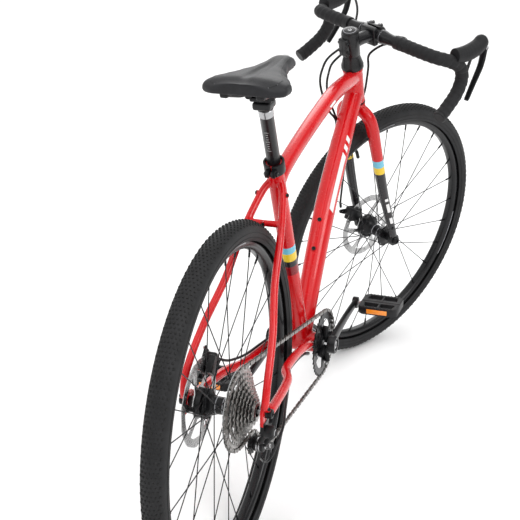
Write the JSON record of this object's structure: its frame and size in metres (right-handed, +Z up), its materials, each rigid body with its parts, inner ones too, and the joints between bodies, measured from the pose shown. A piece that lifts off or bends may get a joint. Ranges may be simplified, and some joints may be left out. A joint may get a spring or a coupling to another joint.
{
  "type": "road bicycle",
  "caption": "Drop-bar gravel road bicycle with a bowed alloy frame, rigid fork, disc brakes, knobbly tyres and a rear derailleur drivetrain.",
  "frame": {"origin": "on the ground, midway between the two axles, in the frame's middle plane", "axes": "+X forward, +Y to the rider's left, +Z up"},
  "size_m": [1.601, 0.4656, 0.9111],
  "materials": {
    "red_paint": "gloss",
    "black_anodised": "satin",
    "satin_black_paint": "satin",
    "tyre_rubber": "matte",
    "bar_tape": "matte",
    "bright_steel": "brushed",
    "chain_steel": "satin",
    "black_plastic": "matte",
    "saddle_cover": "matte",
    "cable_housing": "gloss"
  },
  "bodies": {
    "frame": {"head_tube": "red_paint", "seat_tube": "red_paint", "bb_shell": "red_paint", "top_tube": "red_paint", "down_tube": "red_paint", "seatstay_left": "red_paint", "seatstay_right": "red_paint", "chainstay_left": "red_paint", "chainstay_right": "red_paint", "dropout_left": "red_paint", "dropout_right": "red_paint", "stay_bridge": "red_paint", "seat_collar": "black_anodised", "rear_axle": "black_anodised", "rear_caliper": "black_anodised", "rear_derailleur": "black_plastic", "chain": "chain_steel", "rear_brake_cable": "cable_housing", "shift_cable": "cable_housing"},
    "steering": {"fork_crown": "red_paint", "fork_leg_left": "red_paint", "fork_leg_right": "red_paint", "headset_cover": "satin_black_paint", "stem": "satin_black_paint", "stem_faceplate": "satin_black_paint", "top_cap": "satin_black_paint", "handlebar": "satin_black_paint", "bar_tape_left": "bar_tape", "bar_tape_right": "bar_tape", "hood_left": "black_plastic", "hood_right": "black_plastic", "front_axle": "black_anodised", "front_caliper": "black_anodised", "front_brake_cable": "cable_housing"},
    "front_wheel": {"front_wheel_tyre": "tyre_rubber", "front_wheel_rim": "satin_black_paint", "front_wheel_hub": "black_anodised", "front_rotor": "bright_steel"},
    "rear_wheel": {"rear_wheel_tyre": "tyre_rubber", "rear_wheel_rim": "satin_black_paint", "rear_wheel_hub": "black_anodised", "rear_rotor": "bright_steel"},
    "cassette": {"cassette": "bright_steel"},
    "crankset": {"crank_arm_left": "black_anodised", "crank_arm_right": "black_anodised", "chainring": "black_anodised"},
    "pedal_left": {"pedal_left": "black_plastic"},
    "pedal_right": {"pedal_right": "black_plastic"},
    "derailleur_cage": {"derailleur_cage": "black_anodised"},
    "guide_pulley": {"guide_pulley": "black_plastic"},
    "tension_pulley": {"tension_pulley": "black_plastic"},
    "brake_lever_left": {"brake_lever_left": "black_anodised"},
    "brake_lever_right": {"brake_lever_right": "black_anodised"},
    "shift_paddle": {"shift_paddle": "black_plastic"},
    "seatpost": {"seatpost": "satin_black_paint", "saddle_clamp": "black_anodised", "saddle_rails": "black_anodised", "saddle": "saddle_cover"},
    "front_caliper_arm": {"front_caliper_arm": "black_anodised"},
    "rear_caliper_arm": {"rear_caliper_arm": "black_anodised"}
  },
  "joints": [
    {"name": "steering", "type": "hinge", "parent": "frame", "child": "steering", "pos_m": [0.45882, 0, 0.31183], "axis": [-0.342, 0, 0.9397], "range_deg": [-30, 90], "deforming": ["rear_brake_cable", "shift_cable"]},
    {"name": "front_wheel_spin", "type": "hinge", "parent": "steering", "child": "front_wheel", "pos_m": [0.49037, -0.01884, 0.32332], "axis": [0.4599, 0.8721, 0.1674], "continuous": true},
    {"name": "rear_wheel_spin", "type": "hinge", "parent": "frame", "child": "rear_wheel", "pos_m": [-0.495, 0, 0.325], "axis": [0, 1, 0], "continuous": true},
    {"name": "crank_spin", "type": "hinge", "parent": "frame", "child": "crankset", "pos_m": [-0.0538, 0, 0.2606], "axis": [0, 1, 0], "continuous": true},
    {"name": "cassette_spin", "type": "hinge", "parent": "frame", "child": "cassette", "pos_m": [-0.495, 0, 0.325], "axis": [0, 1, 0], "continuous": true},
    {"name": "pedal_left_spin", "type": "hinge", "parent": "crankset", "child": "pedal_left", "pos_m": [-0.21604, 0.1221, 0.23053], "axis": [0, 1, 0], "continuous": true},
    {"name": "pedal_right_spin", "type": "hinge", "parent": "crankset", "child": "pedal_right", "pos_m": [0.10844, -0.1221, 0.29067], "axis": [0, 1, 0], "continuous": true},
    {"name": "cage_swing", "type": "hinge", "parent": "frame", "child": "derailleur_cage", "pos_m": [-0.443, -0.0292, 0.231], "axis": [0.0385, 0.9993, 0], "range_deg": [-4, 25], "stiffness_Nm_per_rad": 0.8, "deforming": ["chain"]},
    {"name": "guide_pulley_spin", "type": "hinge", "parent": "derailleur_cage", "child": "guide_pulley", "pos_m": [-0.443, -0.0292, 0.231], "axis": [0.0385, 0.9993, 0], "continuous": true},
    {"name": "tension_pulley_spin", "type": "hinge", "parent": "derailleur_cage", "child": "tension_pulley", "pos_m": [-0.364, -0.03225, 0.209], "axis": [0.0385, 0.9993, 0], "continuous": true},
    {"name": "brake_lever_left", "type": "hinge", "parent": "steering", "child": "brake_lever_left", "pos_m": [0.54261, 0.07783, 0.87761], "axis": [0.4599, 0.8721, 0.1674], "range_deg": [0, 7], "stiffness_Nm_per_rad": 0.5},
    {"name": "brake_lever_right", "type": "hinge", "parent": "steering", "child": "brake_lever_right", "pos_m": [0.35765, -0.27292, 0.81029], "axis": [0.4599, 0.8721, 0.1674], "range_deg": [0, 7], "stiffness_Nm_per_rad": 0.5},
    {"name": "shift_paddle", "type": "hinge", "parent": "steering", "child": "shift_paddle", "pos_m": [0.34648, -0.24876, 0.79037], "axis": [0.8195, -0.4894, 0.2983], "range_deg": [0, 10], "stiffness_Nm_per_rad": 0.2},
    {"name": "seatpost_slide", "type": "slide", "parent": "frame", "child": "seatpost", "axis": [-0.3955, 0, 0.9184], "range_m": [-0.05, 0.06]},
    {"name": "front_caliper_arm", "type": "hinge", "parent": "steering", "child": "front_caliper_arm", "pos_m": [0.46238, 0.0427, 0.37379], "axis": [0.4599, 0.8721, 0.1674], "range_deg": [0, 20], "deforming": ["front_brake_cable"]},
    {"name": "rear_caliper_arm", "type": "hinge", "parent": "frame", "child": "rear_caliper_arm", "pos_m": [-0.45, 0.05955, 0.376], "axis": [0, 1, 0], "range_deg": [0, 20]}
  ],
  "couplings": [
    {"joint": "cassette_spin", "follows": "crank_spin", "ratio": 0.94444},
    {"joint": "guide_pulley_spin", "follows": "crank_spin", "ratio": -3.0909},
    {"joint": "tension_pulley_spin", "follows": "crank_spin", "ratio": 3.0909},
    {"joint": "front_caliper_arm", "follows": "brake_lever_right", "ratio": 2.5},
    {"joint": "rear_caliper_arm", "follows": "brake_lever_left", "ratio": 2.5}
  ]
}
